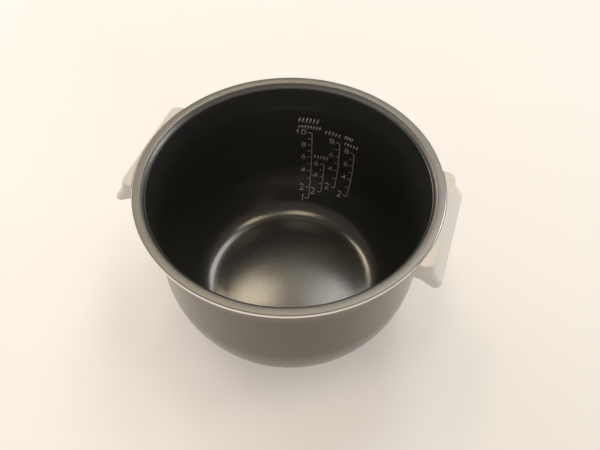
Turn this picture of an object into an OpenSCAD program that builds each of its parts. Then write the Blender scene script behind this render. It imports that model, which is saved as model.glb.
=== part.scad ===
// Removable inner cooking pot of a household rice cooker: a drawn aluminium pot with a rolled
// rim, a non-stick lining, and two moulded grips screwed to brackets welded under the rim.
// Millimetres. The origin is the centre of the base's underside, +Z is up, the grips are at +X and -X.

/* [Pot] */
// Outside diameter over the rolled rim
rim_d = 242; // [236:1:256]
// Height from the base's underside to the top of the rim
pot_h = 150; // [130:1:180]
// Inside diameter of the straight wall
bore_d = 217; // [205:1:220]
// Thickness of the aluminium
wall = 2.5; // [1.5:0.1:2.7]
// Inside radius of the long curve between wall and base
corner_r = 98; // [60:1:99]
// Inside radius of the bend round the flat base
crease_r = 26; // [16:1:36]
// Angle that the bend turns through, from the flat base up to the long curve
crease_turn = 56.3; // [50:0.1:62]
// Thickness of the non-stick lining
lining_t = 0.3; // [0.2:0.05:0.6]

/* [Rim] */
// Depth below the rim at which the wall starts to open out
flare_h = 26; // [22:1:40]
// Radius of the inner shoulder, from the wall over to the rim
shoulder_r = 4; // [3.2:0.1:5]
// Radius of the rim's gently rounded top
crown_r = 14; // [10:1:18]
// Angle that the top falls through before the outer edge
crown_turn = 22; // [10:1:25]
// Radius that turns the rim's outer edge down
edge_r = 2.8; // [2.75:0.05:4]
// Height of the straight band below that radius
edge_band = 1; // [0.6:0.1:2]

/* [Grips] */
// Length of a grip along its top edge
grip_l = 94; // [84:1:110]
// Height of a grip
grip_h = 20.4; // [19:0.2:26]
// Depth of a grip's top below the top of the rim
grip_drop = 0.4; // [0.2:0.1:1]
// Width of a grip's top outside the rim, at its middle
grip_strip = 1.4; // [1:0.1:4]
// Lean of the outer wall, outwards for each millimetre down
grip_lean = 0.24; // [0.1:0.01:0.3]
// Depth at which the outer wall turns out into the finger lip
lip_start = 8.5; // [7:0.5:12]
// Reach of the finger lip beyond the leaning wall
lip_reach = 4.7; // [3:0.1:7]
// Lean of the end walls, outwards for each millimetre down
end_lean = 0.09; // [0:0.01:0.12]
// Radius of the upright corners
grip_corner = 6.5; // [5:0.5:8]
// Radius of the edge round the top
top_edge = 1; // [0.8:0.1:1.6]
// Radius of the finger lip's edge
lip_edge = 0.9; // [0.5:0.1:1.1]
// Thickness of the moulding
grip_t = 2.5; // [2:0.1:3]
// Thickness of the ledge under the rim
ledge_t = 2; // [1.5:0.1:3]
// Height of an end wall beside the pot
end_h = 14.6; // [13.6:0.2:17]
// Clearance between a grip and the pot
grip_gap = 0.4; // [0.2:0.1:0.6]

/* [Fixings] */
// Thickness of the bracket's sheet steel
bracket_t = 1.5; // [1:0.1:1.6]
// Height of the bracket's web on the pot's wall
bracket_h = 7.5; // [5:0.5:10]
// Depth of the bracket's top below the rim
bracket_drop = 11.5; // [11:0.1:12]
// Width of a bracket's lug
lug_w = 10; // [9:0.5:11]
// Distance of a screw in from the grip's top end
screw_inset = 7.5; // [7:0.5:12]
// Distance of a screw in from the grip's top outer edge
screw_back = 4.8; // [4.6:0.1:6]
// Thread diameter of the screws
screw_d = 4; // [3:0.1:4.2]
// Length of the screws under the head
screw_l = 9; // [7:0.5:9]
// Diameter of the screw heads
head_d = 7.6; // [6:0.1:8.4]
// Height of the screw heads
head_h = 2.2; // [1.6:0.1:2.6]
// Diameter of a grip's screw bosses
boss_d = 8; // [6:0.2:9]
// Radial clearance of a screw in its holes
screw_gap = 0.05; // [0.02:0.01:0.1]

/* [Hidden] */
$fn = 96;
eps = 0.01;
bore_r = bore_d / 2;
rim_r = rim_d / 2;
// The flat base's radius and the long curve's centre, tangent to each other and to the wall
floor_r = bore_r - corner_r + (corner_r - crease_r) * sin(crease_turn);
corner_z = wall + crease_r + (corner_r - crease_r) * cos(crease_turn);
// The rim's edge and crown, tangent to each other, and the shoulder where the crown begins
edge_x = rim_r - edge_r;
shoulder_x = edge_x - (crown_r - edge_r) * sin(crown_turn);
edge_cz = pot_h - crown_r + (crown_r - edge_r) * cos(crown_turn);
edge_z = edge_cz - edge_band;
// The flare is the tangent from the top of the straight wall to the shoulder
flare_z = pot_h - flare_h;
flare_run = [shoulder_x - bore_r, flare_h - shoulder_r];
flare_a = atan2(flare_run.x, flare_run.y) - asin(shoulder_r / norm(flare_run));
shoulder_steps = 9;
lined_steps = 1;
// Grip and bracket levels
grip_z = pot_h - grip_drop;
grip_x = rim_r + grip_strip;
ledge_z = edge_z - grip_gap;
lug_z = pot_h - bracket_drop;
wall_gap_r = outer_r(ledge_z) + grip_gap;
screw_x = grip_x - screw_back;
screw_y = grip_l / 2 - screw_inset;
inner_x = sqrt(pow(bore_r, 2) - pow(grip_l / 2 + grip_h * end_lean, 2)) - wall;
// Share of the turn into the lip that is done at the lip's edge
lip_turned = 0.8;
level_steps = 9;
corner_steps = 6;

// Points of an arc round c in n steps, from point `skip` to point `last`
function arc(c, r, a0, a1, n, skip = 0, last = undef) =
    [for (i = [skip : is_undef(last) ? n : last]) let (a = a0 + (a1 - a0) * i / n) c + r * [cos(a), sin(a)]];

function reversed(list) = [for (i = [len(list) - 1 : -1 : 0]) list[i]];

// A step from 0 to 1 that starts and ends level
function ease(u) = let (v = min(max(u, 0), 1)) v * v * (3 - 2 * v);

// The bowl's surface a distance t outside the cooking face, from the axis to the top of the wall
function bowl(t) = concat(
    [[0, wall - t], [floor_r, wall - t]],
    arc([floor_r, wall + crease_r], crease_r + t, -90, crease_turn - 90, 10, skip = 1),
    arc([bore_r - corner_r, corner_z], corner_r + t, crease_turn - 90, 0, 14, skip = 1),
    [[bore_r + t, flare_z - t * tan(flare_a / 2)]]);

// The inner shoulder at the same distance, from the flare to a number of steps over it
function shoulder(t, steps) =
    arc([shoulder_x, pot_h - shoulder_r], shoulder_r - t, 180 - flare_a, 90, shoulder_steps, last = steps);

// The rim's crown and its edge, from the shoulder down to the cut edge
function rim(t) = concat(
    arc([shoulder_x, pot_h - crown_r], crown_r - t, 90, 90 - crown_turn, 4, skip = 1),
    arc([edge_x, edge_cz], edge_r - t, 90 - crown_turn, 0, 6, skip = 1),
    [[rim_r - t, edge_z]]);

function pot_face(t) = concat(bowl(t), shoulder(t, shoulder_steps), rim(t));
function lined_face(t) = concat(bowl(t), shoulder(t, lined_steps));

// Radius of the wall's outside at height z, within the flare
function outer_r(z) = bore_r + wall + (z - flare_z + wall * tan(flare_a / 2)) * tan(flare_a);

// Depths of a grip's rings below its top: its rounded top edge, its wall, and its rounded lip
grip_levels = concat(
    [for (a = [0 : 30 : 90]) [top_edge * (1 - cos(a)), top_edge * (1 - sin(a))]],
    [for (i = [1 : level_steps]) [top_edge + (grip_h - top_edge - lip_edge) * i / level_steps, 0]],
    [for (a = [30 : 30 : 90]) [grip_h - lip_edge * (1 - sin(a)), lip_edge * (1 - cos(a))]]);

// How far out the grip's outer wall is at a depth d below its top: it leans, then turns out into the lip
function grip_out(d) = let (u = (d - lip_start) / (grip_h - lip_start))
    grip_x + grip_lean * d + lip_reach * ease(lip_turned * u) / ease(lip_turned);

// Outline of a grip at a depth d, its round corners at the outside, drawn in by `inset`
function grip_ring(d, inset) = let (
        x = grip_out(d) - inset,
        y = grip_l / 2 + end_lean * d - inset,
        r = grip_corner - inset)
    [for (p = concat(
            [[inner_x, -y]],
            arc([x - r, r - y], r, -90, 0, corner_steps),
            arc([x - r, y - r], r, 0, 90, corner_steps),
            [[inner_x, y]]))
        [p.x, p.y, grip_z - d]];

// A closed solid through rings that have the same number of points, from the highest to the lowest
module loft(rings) {
    n = len(rings[0]);
    last = len(rings) - 1;
    polyhedron(
        points = [for (ring = rings) each ring],
        faces = concat(
            [[for (i = [n - 1 : -1 : 0]) i]],
            [[for (i = [0 : n - 1]) last * n + i]],
            [for (k = [0 : last - 1], i = [0 : n - 1]) let (j = (i + 1) % n)
                each [[k * n + i, k * n + j, (k + 1) * n + j], [k * n + i, (k + 1) * n + j, (k + 1) * n + i]]]),
        convexity = 6);
}

// The drawn pot, from the base to the rim's cut edge
module inner_pot() {
    color("#8f8575")
        rotate_extrude()
            polygon(concat(pot_face(0), reversed(pot_face(wall))));
}

// The lining, which covers the cooking face and ends at the foot of the shoulder
module nonstick_lining() {
    color("#1b1a17")
        rotate_extrude()
            polygon(concat(lined_face(-lining_t), reversed(lined_face(0))));
}

// Everything inside the rim and the wall, with a grip's clearance round it
module pot_clearance() {
    rotate_extrude()
        polygon([[0, 0], [wall_gap_r, 0], [wall_gap_r, ledge_z], [rim_r + grip_gap, ledge_z],
            [rim_r + grip_gap, pot_h + grip_h], [0, pot_h + grip_h]]);
}

// The space below the end walls, which deepen from the pot out to the finger lip
module under_ends() {
    x0 = screw_x - boss_d / 4;
    x1 = grip_out(grip_h) - grip_t - lip_edge;
    steps = 12;
    rotate([90, 0, 0])
        linear_extrude(height = 2 * grip_l, center = true)
            polygon(concat(
                [[0, grip_z - end_h]],
                [for (i = [0 : steps]) let (u = i / steps)
                    [x0 + (x1 - x0) * u, grip_z - end_h - (grip_h - end_h) * ease(u)]],
                [[x1, 0], [0, 0]]));
}

module at_screws() {
    for (side = [-1, 1])
        translate([screw_x, side * screw_y, 0])
            children();
}

// A grip: a thin hollow moulding with a channel round the rim's edge, open below for the fingers
module grip() {
    bore_r_screw = screw_d / 2 + screw_gap;
    screw_top = lug_z - bracket_t + screw_l + screw_gap;
    pocket_top = grip_z - (ledge_z - ledge_t);
    difference() {
        union() {
            difference() {
                loft([for (level = grip_levels) grip_ring(level[0], level[1])]);
                loft([for (i = [0 : level_steps]) let (d = pocket_top + (grip_h + 1 - pocket_top) * i / level_steps)
                    grip_ring(d, grip_t)]);
            }
            at_screws()
                translate([0, 0, lug_z])
                    cylinder(d = boss_d, h = ledge_z - ledge_t / 2 - lug_z);
        }
        pot_clearance();
        under_ends();
        at_screws()
            translate([0, 0, lug_z - eps])
                cylinder(r = bore_r_screw, h = screw_top - lug_z + eps);
    }
}

// A bracket: a web that follows the pot's wall, and two lugs under the grip's bosses
module bracket() {
    half_turn = asin((screw_y + lug_w / 2) / outer_r(lug_z));
    web_z = lug_z - bracket_h;
    difference() {
        union() {
            rotate([0, 0, -half_turn])
                rotate_extrude(angle = 2 * half_turn)
                    polygon([[outer_r(web_z), web_z], [outer_r(web_z) + bracket_t, web_z],
                        [outer_r(lug_z) + bracket_t, lug_z], [outer_r(lug_z), lug_z]]);
            difference() {
                for (side = [-1, 1])
                    translate([0, side * screw_y, lug_z - bracket_t])
                        linear_extrude(height = bracket_t) {
                            translate([inner_x, -lug_w / 2])
                                square([screw_x - inner_x, lug_w]);
                            translate([screw_x, 0])
                                circle(d = lug_w);
                        }
                translate([0, 0, web_z])
                    cylinder(r = outer_r(lug_z) + bracket_t / 2, h = bracket_h + bracket_t);
            }
        }
        at_screws()
            translate([0, 0, lug_z - 2 * bracket_t])
                cylinder(r = screw_d / 2 + screw_gap, h = 3 * bracket_t);
    }
}

// A pan-head screw with a cross recess, its head below the lug and its point up
module screw() {
    slot_w = head_d / 6;
    slot_l = head_d * 0.55;
    difference() {
        union() {
            cylinder(d = screw_d, h = screw_l);
            translate([0, 0, -head_h * 0.4])
                cylinder(d = head_d, h = head_h * 0.4);
            translate([0, 0, -head_h])
                cylinder(d1 = head_d * 0.7, d2 = head_d, h = head_h * 0.6);
        }
        for (a = [0, 90])
            rotate([0, 0, a])
                translate([-slot_l / 2, -slot_w / 2, -head_h - eps])
                    cube([slot_l, slot_w, head_h * 0.7]);
    }
}

module screws() {
    at_screws()
        translate([0, 0, lug_z - bracket_t])
            screw();
}

module right_grip() { color("#e2dccf") grip(); }

module left_grip() { color("#e2dccf") rotate([0, 0, 180]) grip(); }

module right_bracket() { color("#b4b4b0") bracket(); }

module left_bracket() { color("#b4b4b0") rotate([0, 0, 180]) bracket(); }

module grip_screws() {
    color("#c9c9c6")
        for (a = [0, 180])
            rotate([0, 0, a])
                screws();
}

inner_pot();
nonstick_lining();
right_grip();
left_grip();
right_bracket();
left_bracket();
grip_screws();
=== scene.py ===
"""Looks of a rice cooker's inner cooking pot: coated aluminium, printed water scales, moulded grips.

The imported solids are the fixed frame. The pot, its lining and the two grips are made again here as
smooth surfaces. Their sizes are the solids' own, but for the rim's section, which is finer here, and
the cooking floor, which is slightly domed. The brackets and screws keep their solids. Shapes are
worked out in millimetres and stored in metres.
"""

import math

import bmesh
import bpy
import numpy as np
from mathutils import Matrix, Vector


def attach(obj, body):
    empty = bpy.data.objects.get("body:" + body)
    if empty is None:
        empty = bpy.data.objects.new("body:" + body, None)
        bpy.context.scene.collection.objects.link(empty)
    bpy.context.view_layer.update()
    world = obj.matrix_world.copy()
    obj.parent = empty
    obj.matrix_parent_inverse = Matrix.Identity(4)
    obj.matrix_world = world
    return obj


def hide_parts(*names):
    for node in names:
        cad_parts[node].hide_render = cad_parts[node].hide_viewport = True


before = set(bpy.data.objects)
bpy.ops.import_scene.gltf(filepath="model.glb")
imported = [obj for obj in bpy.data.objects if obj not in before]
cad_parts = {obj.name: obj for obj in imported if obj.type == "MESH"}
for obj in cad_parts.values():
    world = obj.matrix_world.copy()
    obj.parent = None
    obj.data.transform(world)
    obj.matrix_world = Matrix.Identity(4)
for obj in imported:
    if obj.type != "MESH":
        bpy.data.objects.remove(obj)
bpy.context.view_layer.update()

# ------------------------------------------------------------------ sizes, in millimetres

# The pot's section
RIM_R = 121.0
POT_H = 150.0
BORE_R = 108.5
WALL = 2.5
CORNER_R = 98.0
CREASE_R = 26.0
CREASE_TURN = math.radians(56.3)
DOME_TURN = math.radians(4.2)
VALLEY_R = 110.0
FLARE_H = 26.0
SHOULDER_R = 3.2
THROAT_R = 10.0
THROAT_TURN = math.radians(50.0)
CROWN_R = 26.5
CROWN_TURN = math.radians(10.0)
EDGE_R = 1.0
CUT_EDGE_R = 0.35
# Height of the bare metal on the trimmed edge, and of the fade at its top
BARE_BAND = 2.43
BARE_FADE = 0.05
LINING_T = 0.3
# Angle at which the lining ends in the throat, and how much sooner its face does
LINING_END = math.radians(160.0)
LINING_FEATHER = 0.04
# Points of the section below and past the knee where the wall starts to flare
KNEE_FAR = 30.0
KNEE_NEAR = 4.0
KNEE_EASE = 0.08

# The grips
GRIP_L = 94.0
GRIP_H = 20.4
GRIP_TOP = POT_H - 0.4
GRIP_X = RIM_R + 1.4
GRIP_LEAN = 0.24
GRIP_T = 2.5
LIP_START = 8.5
LIP_REACH = 4.7
LIP_TURNED = 0.8
END_LEAN = 0.09
END_H = 14.6
GRIP_CORNER = 6.5
TOP_EDGE = 1.0
PLATE_EDGE = 0.4
LIP_EDGE = 0.9
GRIP_GAP = 0.4
LEDGE_T = 2.0
SCREW_INSET = 7.5
SCREW_BACK = 4.8
BOSS_R = 4.0
BOSS_EDGE = 0.3
SCREW_HOLE_R = 2.05
LUG_DROP = 11.5

# Worked out from them
FLOOR_R = BORE_R - CORNER_R + (CORNER_R - CREASE_R) * math.sin(CREASE_TURN)
CORNER_Z = WALL + CREASE_R + (CORNER_R - CREASE_R) * math.cos(CREASE_TURN)
DOME_RADIUS = FLOOR_R / math.sin(DOME_TURN) - VALLEY_R
DOME_CZ = WALL + VALLEY_R - FLOOR_R / math.tan(DOME_TURN)
EDGE_X = RIM_R - EDGE_R
SHOULDER_X = EDGE_X - (CROWN_R - SHOULDER_R) * math.sin(CROWN_TURN)
SHOULDER_Z = POT_H - CROWN_R + (CROWN_R - SHOULDER_R) * math.cos(CROWN_TURN)
EDGE_Z = POT_H - WALL
FLARE_Z = POT_H - FLARE_H
THROAT_X = SHOULDER_X + (THROAT_R - SHOULDER_R) * math.sin(THROAT_TURN)
THROAT_Z = SHOULDER_Z - (THROAT_R - SHOULDER_R) * math.cos(THROAT_TURN)
FLARE_RUN = (THROAT_X - BORE_R, THROAT_Z - FLARE_Z)
FLARE_A = math.atan2(*FLARE_RUN) - math.asin(THROAT_R / math.hypot(*FLARE_RUN))
RIM_GAP_R = RIM_R + GRIP_GAP
LEDGE_TOP = GRIP_TOP - (EDGE_Z - GRIP_GAP)
# The ledge's top falls inward as the rim's underside does
LEDGE_FALL = (CROWN_R - SHOULDER_R) * (1 - math.cos(CROWN_TURN)) + 0.02

# ------------------------------------------------------------------ the camera

CAMERA_AT = (108.3, -291.2, 498.3)
CAMERA_AZIMUTH = 18.83
CAMERA_ELEVATION = 52.75
CAMERA_LENS = 36.0


def make_camera():
    """A normal lens that looks down into the pot from the near side."""
    camera = bpy.data.objects.new("camera", bpy.data.cameras.new("camera"))
    camera.data.lens = CAMERA_LENS
    camera.data.sensor_width = 36.0
    camera.location = [v / 1000 for v in CAMERA_AT]
    camera.rotation_euler = (math.radians(90 - CAMERA_ELEVATION), 0, math.radians(CAMERA_AZIMUTH))
    bpy.context.scene.collection.objects.link(camera)
    bpy.context.scene.camera = camera


make_camera()

# ------------------------------------------------------------------ mesh helpers


def arc(centre, radius, start, end, steps):
    """Points on a circle from one angle to another: centre + radius * (cos a, sin a)."""
    a = np.linspace(start, end, steps + 1)
    return np.stack([centre[0] + radius * np.cos(a), centre[1] + radius * np.sin(a)], 1)


def joined(*parts):
    """One outline from several, with a point that repeats the one before it left out."""
    line = np.concatenate([np.asarray(part, float).reshape(-1, 2) for part in parts])
    step = np.linalg.norm(np.diff(line, axis=0), axis=1)
    return line[np.concatenate([[True], step > 1e-6])]


def ease(u):
    """A step from 0 to 1 that starts and ends level: 3 u^2 - 2 u^3."""
    u = np.clip(u, 0, 1)
    return u * u * (3 - 2 * u)


def grid_faces(columns, rows, first=0, round_columns=False, round_rows=False):
    """Quads between neighbouring columns of `rows` points each, numbered column by column."""
    c = np.arange(columns if round_columns else columns - 1)[:, None]
    r = np.arange(rows if round_rows else rows - 1)[None, :]
    c1, r1 = (c + 1) % columns, (r + 1) % rows
    quads = np.stack([c * rows + r, c1 * rows + r, c1 * rows + r1, c * rows + r1], -1)
    return (quads.reshape(-1, 4) + first).tolist()


def new_piece(name, points, faces, values=None, sharp=40.0):
    """A mesh object from points in millimetres. `values` are numbers kept on its points by name."""
    mesh = bpy.data.meshes.new(name)
    mesh.from_pydata((np.asarray(points) / 1000).tolist(), [], faces)
    for key, data in (values or {}).items():
        kept = mesh.attributes.new(key, "FLOAT", "POINT")
        kept.data.foreach_set("value", np.asarray(data, np.float32))
    shape = bmesh.new()
    shape.from_mesh(mesh)
    bmesh.ops.remove_doubles(shape, verts=shape.verts, dist=2e-6)
    bmesh.ops.dissolve_degenerate(shape, edges=shape.edges, dist=1e-6)
    bmesh.ops.recalc_face_normals(shape, faces=shape.faces)
    shape.to_mesh(mesh)
    shape.free()
    mesh.shade_smooth()
    mesh.set_sharp_from_angle(angle=math.radians(sharp))
    piece = bpy.data.objects.new(name, mesh)
    bpy.context.scene.collection.objects.link(piece)
    return piece


def revolve(name, line, sides=288, values=None):
    """The outline (r, z) carried round the axis: x = r cos a, y = r sin a. Both ends lie on the axis."""
    a = np.arange(sides) * 2 * math.pi / sides
    ring = line[1:-1]
    points = np.stack([
        np.cos(a)[:, None] * ring[None, :, 0],
        np.sin(a)[:, None] * ring[None, :, 0],
        np.broadcast_to(ring[None, :, 1], (sides, len(ring)))], -1).reshape(-1, 3)
    poles = [[0, 0, line[0, 1]], [0, 0, line[-1, 1]]]
    faces = grid_faces(sides, len(ring), round_columns=True)
    n, top = len(points), len(ring) - 1
    for i in range(sides):
        j = (i + 1) % sides
        faces.append([n, j * len(ring), i * len(ring)])
        faces.append([n + 1, i * len(ring) + top, j * len(ring) + top])
    kept = {}
    for key, v in (values or {}).items():
        kept[key] = np.concatenate([np.tile(v[1:-1], sides), [v[0], v[-1]]])
    return new_piece(name, np.concatenate([points, poles]), faces, kept)


# ------------------------------------------------------------------ the pot and its lining


def bowl(t):
    """The bowl's section a distance t outside the cooking face: domed floor, bend, long curve, wall.

    The floor rises a little toward its middle. The underside of the sheet stays flat.
    """
    knee = (BORE_R + t, FLARE_Z - t * math.tan(FLARE_A / 2))
    up = (math.sin(FLARE_A), math.cos(FLARE_A))
    domed = joined(
        arc((0, DOME_CZ), DOME_RADIUS - t, math.pi / 2, math.pi / 2 - DOME_TURN, 24),
        arc((FLOOR_R, WALL + VALLEY_R), VALLEY_R + t, -math.pi / 2 - DOME_TURN, -math.pi / 2, 8))
    flat = [(r, 0) for r in np.linspace(0, FLOOR_R, 8)]
    return joined(
        domed if t < WALL else flat,
        arc((FLOOR_R, WALL + CREASE_R), CREASE_R + t, -math.pi / 2, CREASE_TURN - math.pi / 2, 40),
        arc((BORE_R - CORNER_R, CORNER_Z), CORNER_R + t, CREASE_TURN - math.pi / 2, 0, 56),
        [(knee[0], knee[1] - KNEE_FAR), (knee[0], knee[1] - KNEE_NEAR), (knee[0] + KNEE_EASE, knee[1])],
        [(knee[0] + up[0] * KNEE_NEAR, knee[1] + up[1] * KNEE_NEAR)])


def throat(t, end):
    """The steep turn above the flared mouth, up to an angle."""
    return arc((THROAT_X, THROAT_Z), THROAT_R - t, math.pi - FLARE_A, end, 16)


def shoulder(t):
    """The tighter turn from the throat over to the rim's crown."""
    start, end = math.pi / 2 + THROAT_TURN, math.pi / 2 + CROWN_TURN
    return arc((SHOULDER_X, SHOULDER_Z), SHOULDER_R - t, start, end, 12)


def rim_top(t):
    """The rim's crown, which rises a little outward to the trimmed edge."""
    return arc((EDGE_X, POT_H - CROWN_R), CROWN_R - t, math.pi / 2 + CROWN_TURN, math.pi / 2, 14)


def trimmed_edge():
    """The rim's cut edge, with its corners broken, from the crown down to the underside."""
    return joined(
        arc((EDGE_X, POT_H - EDGE_R), EDGE_R, math.pi / 2, 0, 12),
        arc((RIM_R - CUT_EDGE_R, EDGE_Z + CUT_EDGE_R), CUT_EDGE_R, 0, -math.pi / 2, 6))


def pot_side(z):
    """Radius at a height under the rim that clears the pot's outside by the grips' gap."""
    t = WALL + GRIP_GAP
    line = joined(bowl(t), throat(t, math.pi / 2 + THROAT_TURN), shoulder(t))
    line = line[line[:, 1] > FLARE_Z - 10]
    return np.interp(z, line[:, 1], line[:, 0])


def make_pot():
    """The drawn pot as one closed section, its edge trimmed square."""
    outer = joined(bowl(0), throat(0, math.pi / 2 + THROAT_TURN), shoulder(0), rim_top(0))
    under = joined(bowl(WALL), throat(WALL, math.pi / 2 + THROAT_TURN), shoulder(WALL), rim_top(WALL))
    line = joined(outer, trimmed_edge(), under[::-1])
    along = np.concatenate([[0], np.cumsum(np.linalg.norm(np.diff(line, axis=0), axis=1))])
    at_edge = line[:, 0] > EDGE_X + 0.01
    near_cut = np.clip((EDGE_Z + BARE_BAND - line[:, 1]) / BARE_FADE, 0, 1) * at_edge
    outside = np.arange(len(line)) >= len(outer)
    return revolve("pot_body", line, values={"along_mm": along, "bare": near_cut, "outside": outside})


def make_lining():
    """The coating: the cooking face drawn in by its thickness, thinned to an edge in the throat."""
    inside = joined(bowl(-LINING_T), throat(-LINING_T, LINING_END + LINING_FEATHER))
    outside = joined(bowl(0), throat(0, LINING_END))
    line = joined(inside, outside[::-1])
    along = np.concatenate([[0], np.cumsum(np.linalg.norm(np.diff(line, axis=0), axis=1))])
    return revolve("pot_lining", line, values={"along_mm": along})


def lining_r(z):
    """Radius of the lining's face at height z, from the long curve up into the flared mouth."""
    z = np.asarray(z, float)
    drop = np.clip(CORNER_Z - z, 0, None)
    curve = BORE_R - CORNER_R + np.sqrt((CORNER_R - LINING_T) ** 2 - drop ** 2)
    return np.where(z < FLARE_Z, curve, BORE_R - LINING_T + (z - FLARE_Z) * math.tan(FLARE_A))


# ------------------------------------------------------------------ the printed water scales

# Each scale: degrees round from +X, first and last cup, and the volume of its marks, in millilitres:
# the mark for n cups stands where the bowl of `lining_r` holds `base + cup * n`. That bowl leaves out
# the bend and the dome of the floor, so these volumes place the marks and are not the pot's own.
SCALES = (
    (98.1, 1, 10, 19.7, 305.3),
    (91.0, 2, 6, 31.2, 261.6),
    (83.3, 2, 8, 112.7, 344.2),
    (74.9, 2, 8, 45.7, 322.2),
)
# Above it stand rows of plain grain marks: each row's left and right end from the scale's line, its
# lift above the top mark, the grains' height and their number
GRAINS = (
    ((-14.2, 6.8, 15.0, 7.4, 6), (-14.4, 9.1, 6.7, 4.8, 8)),
    ((-12.1, 4.2, 8.3, 5.8, 5),),
    ((-16.3, 0.8, 9.1, 6.0, 5),),
    ((-12.5, -2.1, 16.4, 5.4, 4), (-12.2, 3.7, 8.4, 5.4, 5)),
)
GRAIN_W = 1.8
GRAIN_LEAN = math.radians(16)
PRINT_LIFT = 0.12
PRINT_T = 0.05
LINE_W = 0.95
TICK_L = 3.3
TICK_W = 0.85
TICK_GAP = 0.9
BEND_R = 1.9
DIGIT_H = 6.6
DIGIT_STRETCH = 1.22


def water_height(volume):
    """Height at which the bowl holds a volume in millilitres: the integral of pi r^2 over z, inverted."""
    z = np.linspace(WALL + LINING_T, POT_H, 1500)
    r = lining_r(np.maximum(z, WALL + LINING_T + 0.1))
    litres = np.concatenate([[0], np.cumsum(math.pi * (r[1:] ** 2 + r[:-1] ** 2) / 2 * np.diff(z))]) / 1000
    return float(np.interp(volume, litres, z))


def on_wall(flat, azimuth):
    """A flat pattern (millimetres right and up) laid on the inner wall: right is clockwise from above."""
    r = lining_r(flat[:, 1]) - PRINT_LIFT
    a = math.radians(azimuth) - flat[:, 0] / r
    return np.stack([r * np.cos(a), r * np.sin(a), flat[:, 1]], 1)


def band(path, width):
    """A strip of a width along a path: each point is moved half the width to both sides of it."""
    path = np.asarray(path, float)
    run = np.gradient(path, axis=0)
    side = np.stack([-run[:, 1], run[:, 0]], 1) / np.linalg.norm(run, axis=1)[:, None] * width / 2
    return np.concatenate([path + side, path - side]), grid_faces(2, len(path))


def oval(centre, width, height, lean, steps=14):
    """A grain: an ellipse leaning to the right by an angle."""
    a = np.arange(steps) * 2 * math.pi / steps
    x, y = np.cos(a) * width / 2, np.sin(a) * height / 2
    across = x * math.cos(lean) + y * math.sin(lean)
    up = y * math.cos(lean) - x * math.sin(lean)
    return np.stack([across, up], 1) + np.asarray(centre), [list(range(steps))]


def digits(text, right, middle):
    """Plain numerals as flat faces, right-aligned at `right` and centred on the height `middle`."""
    curve = bpy.data.curves.new("numeral", "FONT")
    curve.body = text
    curve.size = 10.0
    curve.resolution_u = 3
    holder = bpy.data.objects.new("numeral", curve)
    bpy.context.scene.collection.objects.link(holder)
    flat = holder.evaluated_get(bpy.context.evaluated_depsgraph_get()).to_mesh()
    points = np.array([v.co[:2] for v in flat.vertices], float)
    faces = [list(p.vertices) for p in flat.polygons]
    bpy.data.objects.remove(holder)
    low, high = points.min(0), points.max(0)
    scale = DIGIT_H / (high[1] - low[1])
    points = (points - [high[0], (low[1] + high[1]) / 2]) * [scale * DIGIT_STRETCH, scale]
    return points + [right, middle], faces


def make_scale(index, azimuth, first, last, base, cup):
    """One water scale: a line with a bent end at its first and last mark, ticks, and plain numbers."""
    heights = {n: water_height(base + cup * n) for n in range(first, last + 1)}
    shapes = []
    top, low = heights[last], heights[first]
    tip = -TICK_GAP - TICK_L
    line = joined(
        [(tip, top), (-BEND_R - 0.2, top)],
        arc((-BEND_R, top - BEND_R), BEND_R, math.pi / 2, 0, 8),
        [(0, z) for z in np.linspace(top - BEND_R - 0.2, low + BEND_R + 0.2, 60)],
        arc((-BEND_R, low + BEND_R), BEND_R, 0, -math.pi / 2, 8),
        [(-BEND_R - 0.2, low), (tip, low)])
    shapes.append(band(line, LINE_W))
    for n in range(first + 1, last):
        shapes.append(band([(tip, heights[n]), (-TICK_GAP, heights[n])], TICK_W))
    for n in range(first, last + 1):
        if n % 2 == 0 or n == first:
            shapes.append(digits(str(n), tip - 1.5, heights[n]))
    for left, right, lift, height, count in GRAINS[index - 1]:
        for x in np.linspace(left + GRAIN_W, right - GRAIN_W, count):
            shapes.append(oval((x, top + lift), GRAIN_W, height, GRAIN_LEAN))
    points, faces, count = [], [], 0
    for flat, polygons in shapes:
        points.append(on_wall(flat, azimuth))
        faces += [[i + count for i in polygon] for polygon in polygons]
        count += len(flat)
    piece = new_piece("water_scale_%d" % index, np.concatenate(points), faces)
    film = piece.modifiers.new("ink", "SOLIDIFY")
    film.thickness = PRINT_T / 1000
    film.offset = 1
    return piece


# ------------------------------------------------------------------ the grips

GRIP_SCREW_X = GRIP_X - SCREW_BACK
GRIP_SCREW_Y = GRIP_L / 2 - SCREW_INSET


def grip_out(d):
    """How far out the outer wall is at a depth d: it leans, then eases out into the finger lip."""
    u = (d - LIP_START) / (GRIP_H - LIP_START)
    return GRIP_X + GRIP_LEAN * d + LIP_REACH * ease(LIP_TURNED * u) / ease(LIP_TURNED)


def end_depth(x):
    """Depth of the moulding's lower edge at x: shallow beside the pot, full at the finger lip."""
    x0 = GRIP_SCREW_X - BOSS_R / 2
    x1 = grip_out(GRIP_H) - GRIP_T - LIP_EDGE
    return END_H + (GRIP_H - END_H) * ease((x - x0) / (x1 - x0))


def beside(y, radius):
    """Where a line at y meets the circle of a radius round the pot's axis."""
    return np.sqrt(np.maximum(radius ** 2 - y ** 2, 0))


def quarter(steps=6):
    """Shares of a quarter round: how far along it, and how far across."""
    a = np.linspace(0, math.pi / 2, steps + 1)
    return np.sin(a), 1 - np.cos(a)


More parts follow.
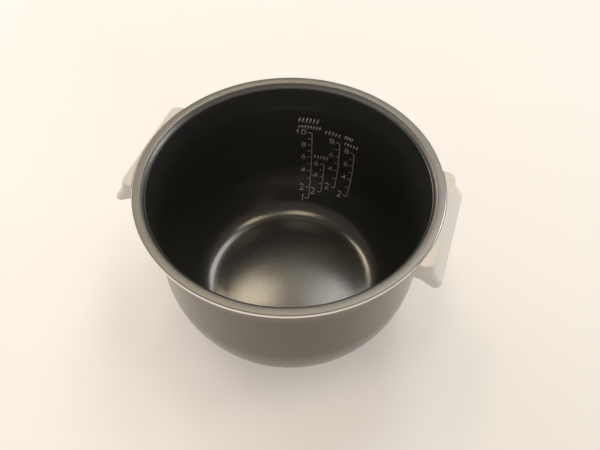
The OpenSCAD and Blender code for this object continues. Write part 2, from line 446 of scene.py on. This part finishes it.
def make_grip_skin():
    """The thin moulding as a closed loop carried round its outline in plan.

    Stations run from one end wall round both corners to the other. The loop goes from the plate's
    edge at the rim out over the top edge, down the outer wall, round the lip, up the inner face and
    back under the plate. Each point is (station, depth, inset, share of the way to the rim).
    """
    along, across = quarter()
    under = LEDGE_TOP - LEDGE_T / 2
    one, none = np.ones_like(along), np.zeros_like(along)
    wall_v = np.linspace(0, 1, 44)[1:]
    back_v = wall_v[::-1]
    plate_w = np.linspace(1, 0, 7)[1:]
    # rows: share down the wall, depth above or below that, inset, share to the rim, rim rounding
    rows = [np.stack(r, 1) for r in (
        (none, PLATE_EDGE * (1 - along), TOP_EDGE * one, one, PLATE_EDGE * across),
        (0 * plate_w, 0 * plate_w, TOP_EDGE + 0 * plate_w, plate_w, PLATE_EDGE * plate_w),
        (none, TOP_EDGE * across, TOP_EDGE * (1 - along), none, none),
        (wall_v, TOP_EDGE * (1 - wall_v) - LIP_EDGE * wall_v, 0 * wall_v, 0 * wall_v, 0 * wall_v),
        (one, LIP_EDGE * (along - 1), LIP_EDGE * across, none, none),
        (one, -LIP_EDGE * across, GRIP_T - LIP_EDGE * (1 - along), none, none),
        (back_v, GRIP_T * (1 - back_v) - LIP_EDGE * back_v, GRIP_T + 0 * back_v, 0 * back_v, 0 * back_v),
        (none, GRIP_T * one, GRIP_T * one, np.linspace(0, 1, len(one)), none))]
    share, offset, inset, to_rim, rounding = np.concatenate(rows).T[:, None, :]
    # stations: kind 0 end wall beside the pot, 1 end wall outside the rim, 2 corner, 3 straight side
    kind, place, side = (np.array(v, float)[:, None] for v in zip(
        *[(0, e, -1) for e in np.linspace(0, 1, 8)],
        *[(1, e, -1) for e in np.linspace(0, 1, 7)],
        *[(2, a, -1) for a in np.linspace(-90, 0, 17)[1:]],
        *[(3, s, 0) for s in np.linspace(-1, 1, 61)[1:-1]],
        *[(2, a, 1) for a in np.linspace(0, 90, 17)[:-1]],
        *[(1, e, 1) for e in np.linspace(1, 0, 7)],
        *[(0, e, 1) for e in np.linspace(1, 0, 8)]))

    def outline(d, i):
        x, y, r = grip_out(d) - i, GRIP_L / 2 + END_LEAN * d - i, GRIP_CORNER - i
        tip, side_r = beside(y, RIM_GAP_R), pot_side(GRIP_TOP - d)
        turn = np.radians(place)
        px = np.select(
            [kind == 0, kind == 1, kind == 2],
            [beside(y, side_r) + place * (tip - beside(y, side_r)), tip + place * (x - r - tip),
             x - r + r * np.cos(turn)], x + 0 * place)
        py = np.select(
            [kind < 2, kind == 2],
            [side * y, side * (y - r) + r * np.sin(turn)], place * (y - r))
        return px, py

    full = end_depth(outline(np.full_like(share * place, GRIP_H), 0 * share)[0])
    depth = share * full + offset
    depth = np.where(kind == 0, np.maximum(depth, under), depth)
    inset = np.where((kind == 0) & (to_rim > 0), GRIP_T * to_rim, inset + 0 * kind)
    px, py = outline(depth, inset)
    rim_r = RIM_GAP_R + rounding
    covered = (depth < under) & (kind > 1)
    px = np.where(covered, np.maximum(px, beside(py, rim_r)), px)
    pull = rim_r / np.hypot(px, py)
    mix = np.where(kind == 0, 0, to_rim)
    px, py = px * (1 + mix * (pull - 1)), py * (1 + mix * (pull - 1))
    points = np.stack([px, py, GRIP_TOP - depth], -1)
    columns, loop = points.shape[:2]
    faces = grid_faces(columns, loop, round_rows=True)
    faces += [list(range(loop)), list(range((columns - 1) * loop, columns * loop))]
    return points.reshape(-1, 3), faces


def make_grip_ledge():
    """The ledge under the rim: a rectangle carried along y, from beside the pot into the outer wall."""
    depth = LEDGE_TOP + LEDGE_T / 2
    half = GRIP_L / 2 + END_LEAN * depth - GRIP_T / 2
    bend = GRIP_CORNER - GRIP_T / 2
    y = half * np.sin(np.linspace(-math.pi / 2, math.pi / 2, 61))
    past = np.maximum(np.abs(y) - (half - bend), 0)
    outer = grip_out(depth) - GRIP_T / 2 - bend + np.sqrt(bend ** 2 - past ** 2)
    z0, z1 = GRIP_TOP - LEDGE_TOP, GRIP_TOP - LEDGE_TOP - LEDGE_T
    inner, inner_z = beside(y, pot_side(z0)), z0 - LEDGE_FALL
    loop = [(inner, inner_z), (outer, z0), (outer, z1), (inner, z1)]
    points = np.stack([np.stack([x, y, np.full_like(y, z)], 1) for x, z in loop], 1)
    faces = grid_faces(len(y), 4, round_rows=True)
    faces += [[0, 1, 2, 3], [4 * len(y) - k for k in (4, 3, 2, 1)]]
    return points.reshape(-1, 3), faces


def make_boss(side):
    """A screw boss: a tube that stands on the bracket's lug and runs up into the ledge."""
    a = np.arange(40) * 2 * math.pi / 40
    z0, z1 = POT_H - LUG_DROP, GRIP_TOP - LEDGE_TOP - LEDGE_T / 2
    foot = [(BOSS_R, z0 + BOSS_EDGE), (BOSS_R - BOSS_EDGE, z0)]
    loop = [(SCREW_HOLE_R, z1), (BOSS_R, z1), *foot, (SCREW_HOLE_R, z0)]
    x, y = GRIP_SCREW_X, side * GRIP_SCREW_Y
    points = np.stack([
        np.stack([x + r * np.cos(a), y + r * np.sin(a), np.full_like(a, z)], 1) for r, z in loop], 1)
    return points.reshape(-1, 3), grid_faces(len(a), len(loop), round_columns=True, round_rows=True)


def make_grip(name, half_turn):
    """The skin, its ledge and two bosses in one piece. The left grip is the right one turned round."""
    points, faces, count = [], [], 0
    for part, polygons in (make_grip_skin(), make_grip_ledge(), make_boss(-1), make_boss(1)):
        points.append(part)
        faces += [[i + count for i in polygon] for polygon in polygons]
        count += len(part)
    points = np.concatenate(points)
    if half_turn:
        points = points * [-1, -1, 1]
    return new_piece(name, points, faces)


# ------------------------------------------------------------------ materials


def colour(code):
    """An sRGB hex colour as linear red, green, blue and alpha."""
    parts = [int(code[i:i + 2], 16) / 255 for i in (1, 3, 5)]
    return [c / 12.92 if c <= 0.04045 else ((c + 0.055) / 1.055) ** 2.4 for c in parts] + [1.0]


def add(tree, kind, inputs=None, **settings):
    """Adds a node: `settings` are its properties, `inputs` its sockets' values or the sockets to link."""
    made = tree.nodes.new(kind)
    for key, value in settings.items():
        setattr(made, key, value)
    for key, value in (inputs or {}).items():
        if isinstance(value, bpy.types.NodeSocket):
            tree.links.new(value, made.inputs[key])
        else:
            made.inputs[key].default_value = value
    return made


def ramp(tree, factor, stops):
    """A colour ramp of (place, colour) stops."""
    made = add(tree, "ShaderNodeValToRGB", {"Fac": factor})
    points = made.color_ramp.elements
    for place, tone in stops[2:]:
        points.new(place)
    in_order = sorted(points, key=lambda point: point.position)
    for point, (place, tone) in zip(in_order, sorted(stops, key=lambda stop: stop[0])):
        point.position = place
        point.color = tone
    return made.outputs["Color"]


def mixed(tree, share, first, second):
    """The colour that turns from one to another as a share goes from 0 to 1."""
    # the node's sockets 6 and 7 are its two colours, and its output 2 is their mix
    made = add(tree, "ShaderNodeMix", {0: share, 6: first, 7: second}, data_type="RGBA")
    return made.outputs[2]


def noise(tree, vector, scale, detail):
    """Soft random patches, 1 / scale metres across."""
    made = add(tree, "ShaderNodeTexNoise", {"Vector": vector, "Scale": scale, "Detail": detail})
    return made.outputs["Fac"]


def stripes(tree, along, scale):
    """Random lines along the section, 1 / scale millimetres apart."""
    made = add(tree, "ShaderNodeTexNoise", {
        "W": along, "Scale": scale, "Detail": 2.0}, noise_dimensions="1D")
    return made.outputs["Fac"]


def grey(value):
    """A neutral linear colour."""
    return [value, value, value, 1.0]


def new_material(name):
    """A node material, its tree and its shader."""
    material = bpy.data.materials.new(name)
    material.use_nodes = True
    tree = material.node_tree
    return material, tree, tree.nodes["Principled BSDF"]


def anodised_aluminium():
    """Drawn aluminium, hard-anodised: a satin grey with faint turning marks, warmer and darker outside.

    A clear seal lies on the outside, and makes the wall brighten toward its outline. The rim's trimmed
    edge is bare and pale.
    """
    material, tree, shader = new_material("anodised_aluminium")
    place = add(tree, "ShaderNodeTexCoord").outputs["Object"]
    # millimetres along the section
    along = add(tree, "ShaderNodeAttribute", attribute_name="along_mm").outputs["Fac"]
    bare = add(tree, "ShaderNodeAttribute", attribute_name="bare").outputs["Fac"]
    outside = add(tree, "ShaderNodeAttribute", attribute_name="outside").outputs["Fac"]
    cloud = noise(tree, place, 14.0, 3.0)
    # turning marks 0.8 mm apart, drawn coarser than the real 0.2 mm so that they show
    marks = stripes(tree, along, 1.25)
    # the oxide's grain, drawn 0.4 mm across, coarser than the real 0.05 mm
    grain = noise(tree, place, 2600.0, 2.0)
    tone = ramp(tree, cloud, [(0.3, colour("#7c7b78")), (0.7, colour("#82817e"))])
    # the outside is anodised darker than the rim
    tone = mixed(tree, outside, tone, colour("#50473a"))
    tone = mixed(tree, bare, tone, colour("#efebe4"))
    rough = add(tree, "ShaderNodeMapRange", {"Value": cloud, "To Min": 0.37, "To Max": 0.43})
    # the node's sockets 2 and 3 are its two values
    rough = add(tree, "ShaderNodeMix", {0: bare, 2: rough.outputs["Result"], 3: 0.35})
    low = add(tree, "ShaderNodeBump", {"Height": marks, "Strength": 0.06, "Distance": 0.0004})
    high = add(tree, "ShaderNodeBump", {
        "Height": grain, "Strength": 0.08, "Distance": 0.0001, "Normal": low.outputs["Normal"]})
    tree.links.new(tone, shader.inputs["Base Color"])
    tree.links.new(rough.outputs[0], shader.inputs["Roughness"])
    tree.links.new(high.outputs["Normal"], shader.inputs["Normal"])
    # the clear seal is on the outside only
    tree.links.new(outside, shader.inputs["Coat Weight"])
    shader.inputs["Metallic"].default_value = 1.0
    shader.inputs["Coat Roughness"].default_value = 0.28
    return material


def nonstick_coating():
    """Sprayed fluoropolymer coating with metallic fleck: satin near-black, with a warm metallic sheen.

    The fleck spreads a highlight wide, and the smooth top film draws its brighter core.
    """
    material, tree, shader = new_material("nonstick_coating")
    place = add(tree, "ShaderNodeTexCoord").outputs["Object"]
    along = add(tree, "ShaderNodeAttribute", attribute_name="along_mm").outputs["Fac"]
    # flecks 0.35 mm across
    fleck = add(tree, "ShaderNodeTexVoronoi", {"Vector": place, "Scale": 2800.0}).outputs["Color"]
    spark = ramp(tree, fleck, [(0.80, grey(0.0)), (0.92, grey(1.0))])
    # spray's orange peel 1.1 mm across
    peel = noise(tree, place, 900.0, 2.0)
    cloud = noise(tree, place, 22.0, 4.0)
    # rings of the turning under the coating, 1.4 mm apart, drawn coarser than the real 0.2 mm
    rings = stripes(tree, along, 0.7)
    tone = ramp(tree, cloud, [(0.3, colour("#393a39")), (0.7, colour("#3f3f3d"))])
    tone = mixed(tree, spark, tone, colour("#706c62"))
    rough = add(tree, "ShaderNodeMapRange", {"Value": cloud, "To Min": 0.46, "To Max": 0.54})
    low = add(tree, "ShaderNodeBump", {"Height": rings, "Strength": 0.1, "Distance": 0.0005})
    high = add(tree, "ShaderNodeBump", {
        "Height": peel, "Strength": 0.04, "Distance": 0.0002, "Normal": low.outputs["Normal"]})
    tree.links.new(tone, shader.inputs["Base Color"])
    tree.links.new(rough.outputs["Result"], shader.inputs["Roughness"])
    tree.links.new(high.outputs["Normal"], shader.inputs["Normal"])
    tree.links.new(high.outputs["Normal"], shader.inputs["Coat Normal"])
    shader.inputs["Metallic"].default_value = 0.5
    shader.inputs["Coat Weight"].default_value = 1.0
    shader.inputs["Coat Roughness"].default_value = 0.2
    shader.inputs["Coat IOR"].default_value = 1.8
    return material


def scale_ink():
    """Fired pad-printing ink: a matt pale grey, a little uneven where it was pressed on."""
    material, tree, shader = new_material("scale_ink")
    place = add(tree, "ShaderNodeTexCoord").outputs["Object"]
    patch = noise(tree, place, 700.0, 3.0)
    tone = ramp(tree, patch, [(0.35, colour("#c3c0b8")), (0.6, colour("#dedbd3"))])
    tree.links.new(tone, shader.inputs["Base Color"])
    shader.inputs["Roughness"].default_value = 0.6
    return material


def moulded_plastic():
    """Moulded polypropylene in cream, from a finely sparked mould: a soft satin with shallow grain."""
    material, tree, shader = new_material("moulded_plastic")
    place = add(tree, "ShaderNodeTexCoord").outputs["Object"]
    # spark grain 0.35 mm wide
    grain = noise(tree, place, 2800.0, 2.0)
    flow = noise(tree, place, 30.0, 2.0)
    tone = ramp(tree, flow, [(0.3, colour("#ece8e1")), (0.7, colour("#f1ede7"))])
    rough = add(tree, "ShaderNodeMapRange", {"Value": grain, "To Min": 0.38, "To Max": 0.5})
    bump = add(tree, "ShaderNodeBump", {"Height": grain, "Strength": 0.12, "Distance": 0.0001})
    tree.links.new(tone, shader.inputs["Base Color"])
    tree.links.new(rough.outputs["Result"], shader.inputs["Roughness"])
    tree.links.new(bump.outputs["Normal"], shader.inputs["Normal"])
    shader.inputs["Subsurface Weight"].default_value = 0.15
    shader.inputs["Subsurface Radius"].default_value = (0.004, 0.003, 0.002)
    shader.inputs["Subsurface Scale"].default_value = 0.5
    shader.inputs["IOR"].default_value = 1.49
    return material


def rolled_steel(name, tone, rough):
    """Steel as rolled and pressed, or turned: bright, with fine lines along one way, 0.3 mm apart."""
    material, tree, shader = new_material(name)
    place = add(tree, "ShaderNodeTexCoord").outputs["Object"]
    drawn = add(tree, "ShaderNodeMapping", {"Vector": place, "Scale": (300.0, 60.0, 3000.0)})
    drawn = drawn.outputs["Vector"]
    lines = noise(tree, drawn, 1.0, 3.0)
    tint = ramp(tree, lines, [(0.3, colour(tone)), (0.7, colour("#cfcecb"))])
    spread = add(tree, "ShaderNodeMapRange", {
        "Value": lines, "To Min": rough - 0.06, "To Max": rough + 0.08})
    bump = add(tree, "ShaderNodeBump", {"Height": lines, "Strength": 0.1, "Distance": 0.0001})
    tree.links.new(tint, shader.inputs["Base Color"])
    tree.links.new(spread.outputs["Result"], shader.inputs["Roughness"])
    tree.links.new(bump.outputs["Normal"], shader.inputs["Normal"])
    shader.inputs["Metallic"].default_value = 1.0
    return material


# ------------------------------------------------------------------ the pieces


def dress(piece, material, slot, *nodes):
    """Gives a piece its material, lets it ride with the pot, and hides the solids that it stands for."""
    piece.data.materials.append(material)
    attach(piece, "root")
    if nodes:
        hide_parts(*nodes)


PLASTIC = moulded_plastic()
INK = scale_ink()
dress(make_pot(), anodised_aluminium(), "pot_metal", "inner_pot")
dress(make_lining(), nonstick_coating(), "nonstick_coating", "nonstick_lining")
dress(make_grip("grip_right", False), PLASTIC, "grip_plastic", "right_grip")
dress(make_grip("grip_left", True), PLASTIC, "grip_plastic", "left_grip")
for number, scale in enumerate(SCALES, 1):
    dress(make_scale(number, *scale), INK, "nonstick_coating")

PRESSED = rolled_steel("pressed_stainless", "#a9a8a4", 0.34)
TURNED = rolled_steel("plated_screw_steel", "#b9b8b4", 0.24)
for node, material in (("right_bracket", PRESSED), ("left_bracket", PRESSED), ("grip_screws", TURNED)):
    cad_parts[node].data.materials.clear()
    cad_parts[node].data.materials.append(material)

# ------------------------------------------------------------------ floor and light

FLOOR_SIZE = 3.0
# How much the table is lifted toward white where it is looked at, beyond the pot and on the near side,
# the way from one to the other, and where on that way the change begins and ends, in metres. The larger
# lift on the near side is painted light: it makes the pot's shadow paler there.
TABLE_LIFT = (0.33, 0.43)
TABLE_LIFT_WAY = (-0.6, -1.0, 0.0)
TABLE_LIFT_SPAN = (-0.05, 0.25)


def make_floor():
    """A wide table top, painted off-white and matt, that the pot stands on and throws its shadow on."""
    half = FLOOR_SIZE / 2
    mesh = bpy.data.meshes.new("floor")
    corners = [(-half, -half, 0), (half, -half, 0), (half, half, 0), (-half, half, 0)]
    mesh.from_pydata(corners, [], [(0, 1, 2, 3)])
    floor = bpy.data.objects.new("floor", mesh)
    bpy.context.scene.collection.objects.link(floor)
    material, tree, shader = new_material("painted_table")
    shader.inputs["Base Color"].default_value = colour("#eff1f3")
    shader.inputs["Roughness"].default_value = 0.7
    seen = add(tree, "ShaderNodeLightPath").outputs
    direct = add(tree, "ShaderNodeMath", {
        0: seen["Is Camera Ray"], 1: seen["Is Glossy Ray"]}, operation="MAXIMUM")
    direct = add(tree, "ShaderNodeMath", {
        0: direct.outputs[0], 1: seen["Is Transmission Ray"]}, operation="MAXIMUM")
    place = add(tree, "ShaderNodeTexCoord").outputs["Object"]
    nearness = add(tree, "ShaderNodeVectorMath", {
        0: place, 1: TABLE_LIFT_WAY}, operation="DOT_PRODUCT")
    # painted light: the table's glow grows toward the near side and the left, paling the pot's shadow
    # there
    painted_lift = add(tree, "ShaderNodeMapRange", {
        "Value": nearness.outputs["Value"],
        "From Min": TABLE_LIFT_SPAN[0], "From Max": TABLE_LIFT_SPAN[1],
        "To Min": TABLE_LIFT[0], "To Max": TABLE_LIFT[1]})
    lift = add(tree, "ShaderNodeMath", {
        0: direct.outputs[0], 1: painted_lift.outputs["Result"]}, operation="MULTIPLY")
    # the glow's warm tone, against the bluish paint, paints warm light into the table's shadows
    shader.inputs["Emission Color"].default_value = colour("#f4e6d9")
    tree.links.new(lift.outputs[0], shader.inputs["Emission Strength"])
    mesh.materials.append(material)


# Each lamp: degrees round from +X, degrees above the floor, width and height in metres, radiance, and
# colour. The far ones light the rim and the floor inside, the two high ones the bend round the floor,
# and the two low windows the outside and the grips.
LAMP_DISTANCE = 1.5
LAMPS = (
    ("lamp_far_left", 130.5, 58.5, 0.31, 0.22, 10.5, "#ffedcb"),
    ("window_far", 78.0, 56.5, 0.46, 0.54, 5.2, "#fdfaf4"),
    ("curtain_far", 102.0, 57.0, 0.31, 0.52, 1.3, "#fff2dc"),
    ("lamp_near_top", 255.0, 81.0, 0.33, 0.33, 6.0, "#ffebcb"),
    ("lamp_right_top", 14.0, 71.5, 0.31, 0.31, 6.2, "#ffeccb"),
    ("window_right", 36.0, 6.0, 0.46, 0.38, 8.0, "#f1f5fb"),
    ("window_left", 150.0, 22.0, 0.80, 0.42, 3.6, "#fff3e4"),
)
# The room is brightest low down and a little to the left, and darkest overhead. Each tone stands at a
# share of the bright way, from -1 against it to 1 along it.
ROOM_BRIGHT_WAY = (-0.15, 0.0, -0.99)
ROOM_TONES = (
    (-1.0, "#6c6864"), (-0.8, "#797570"), (-0.6, "#85807c"),
    (-0.4, "#a59f99"), (-0.15, "#f4ece4"), (0.1, "#fffef4"))


def make_lamp(name, azimuth, elevation, width, height, radiance, tone):
    """A rectangular soft lamp that faces the pot. Its power is pi times its area times its radiance."""
    lamp = bpy.data.lights.new(name, "AREA")
    lamp.shape = "RECTANGLE"
    lamp.size, lamp.size_y = width, height
    lamp.energy = math.pi * width * height * radiance
    lamp.color = colour(tone)[:3]
    holder = bpy.data.objects.new(name, lamp)
    a, e = math.radians(azimuth), math.radians(elevation)
    away = Vector((math.cos(a) * math.cos(e), math.sin(a) * math.cos(e), math.sin(e)))
    holder.location = away * LAMP_DISTANCE + Vector((0, 0, POT_H / 1000))
    holder.rotation_euler = away.to_track_quat("Z", "Y").to_euler()
    bpy.context.scene.collection.objects.link(holder)


def make_light():
    """The room's even light and the lamps."""
    world = bpy.data.worlds.new("studio")
    world.use_nodes = True
    tree = world.node_tree
    toward = add(tree, "ShaderNodeTexCoord").outputs["Generated"]
    way = add(tree, "ShaderNodeVectorMath", {0: toward, 1: ROOM_BRIGHT_WAY}, operation="DOT_PRODUCT")
    share = add(tree, "ShaderNodeMapRange", {"Value": way.outputs["Value"], "From Min": -1.0})
    stops = [((place + 1) / 2, colour(tone)) for place, tone in ROOM_TONES]
    room = ramp(tree, share.outputs["Result"], stops)
    tree.links.new(room, tree.nodes["Background"].inputs["Color"])
    tree.nodes["Background"].inputs["Strength"].default_value = 1.0
    bpy.context.scene.world = world
    for lamp in LAMPS:
        make_lamp(*lamp)


make_floor()
make_light()
bpy.context.scene.view_settings.view_transform = "Standard"
